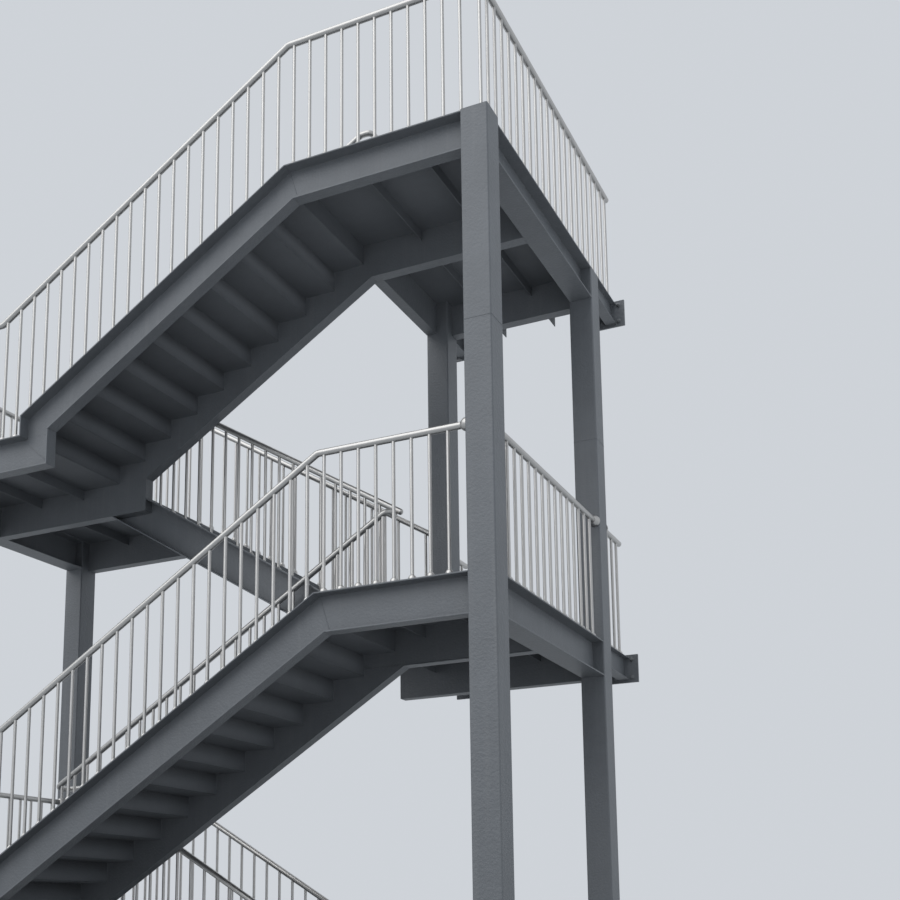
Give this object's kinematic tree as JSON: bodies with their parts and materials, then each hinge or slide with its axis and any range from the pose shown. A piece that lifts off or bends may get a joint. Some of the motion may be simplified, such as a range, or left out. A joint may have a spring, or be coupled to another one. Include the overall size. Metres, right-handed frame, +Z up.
{
  "type": "external steel escape stair",
  "caption": "Free-standing outside escape stair of painted steel with dog-leg flights, landings and stainless steel railings, tied to a building's wall.",
  "frame": {"origin": "middle of the front right column's base plate, on the ground", "axes": "+X to the right along the building, +Y towards the building's wall, +Z up"},
  "size_m": [6.02, 3.155, 8.428],
  "materials": {
    "blue_grey_paint": "matt, slightly rough coat",
    "satin_stainless": "satin"
  },
  "bodies": {
    "root": {"column_back_left": "blue_grey_paint", "column_back_right": "blue_grey_paint", "column_front_left": "blue_grey_paint", "column_front_right": "blue_grey_paint", "column_upper_back": "blue_grey_paint", "flight_1_steps": "blue_grey_paint", "flight_1_strings": "blue_grey_paint", "flight_2_steps": "blue_grey_paint", "flight_2_strings": "blue_grey_paint", "flight_3_steps": "blue_grey_paint", "flight_3_strings": "blue_grey_paint", "flight_4_steps": "blue_grey_paint", "flight_4_strings": "blue_grey_paint", "half_landing_lower_beams": "blue_grey_paint", "half_landing_lower_deck": "blue_grey_paint", "half_landing_lower_end_beam": "blue_grey_paint", "half_landing_upper_beams": "blue_grey_paint", "half_landing_upper_deck": "blue_grey_paint", "half_landing_upper_end_beam": "blue_grey_paint", "main_landing_beams": "blue_grey_paint", "main_landing_deck": "blue_grey_paint", "main_landing_end_beam": "blue_grey_paint", "main_landing_wall_ties": "blue_grey_paint", "railing_flight_1_inner": "satin_stainless", "railing_flight_1_outer": "satin_stainless", "railing_flight_2_inner": "satin_stainless", "railing_flight_2_outer": "satin_stainless", "railing_flight_3_inner": "satin_stainless", "railing_flight_3_outer": "satin_stainless", "railing_flight_4_inner": "satin_stainless", "railing_flight_4_outer": "satin_stainless", "railing_half_landing_lower_end": "satin_stainless", "railing_half_landing_upper_end": "satin_stainless", "railing_main_landing_end": "satin_stainless", "railing_main_landing_wall_side": "satin_stainless", "railing_top_landing_end": "satin_stainless", "railing_top_landing_open_side": "satin_stainless", "top_landing_beams": "blue_grey_paint", "top_landing_deck": "blue_grey_paint", "top_landing_end_beam": "blue_grey_paint", "top_landing_open_side_beam": "blue_grey_paint", "top_landing_wall_ties": "blue_grey_paint"}
  },
  "joints": []
}
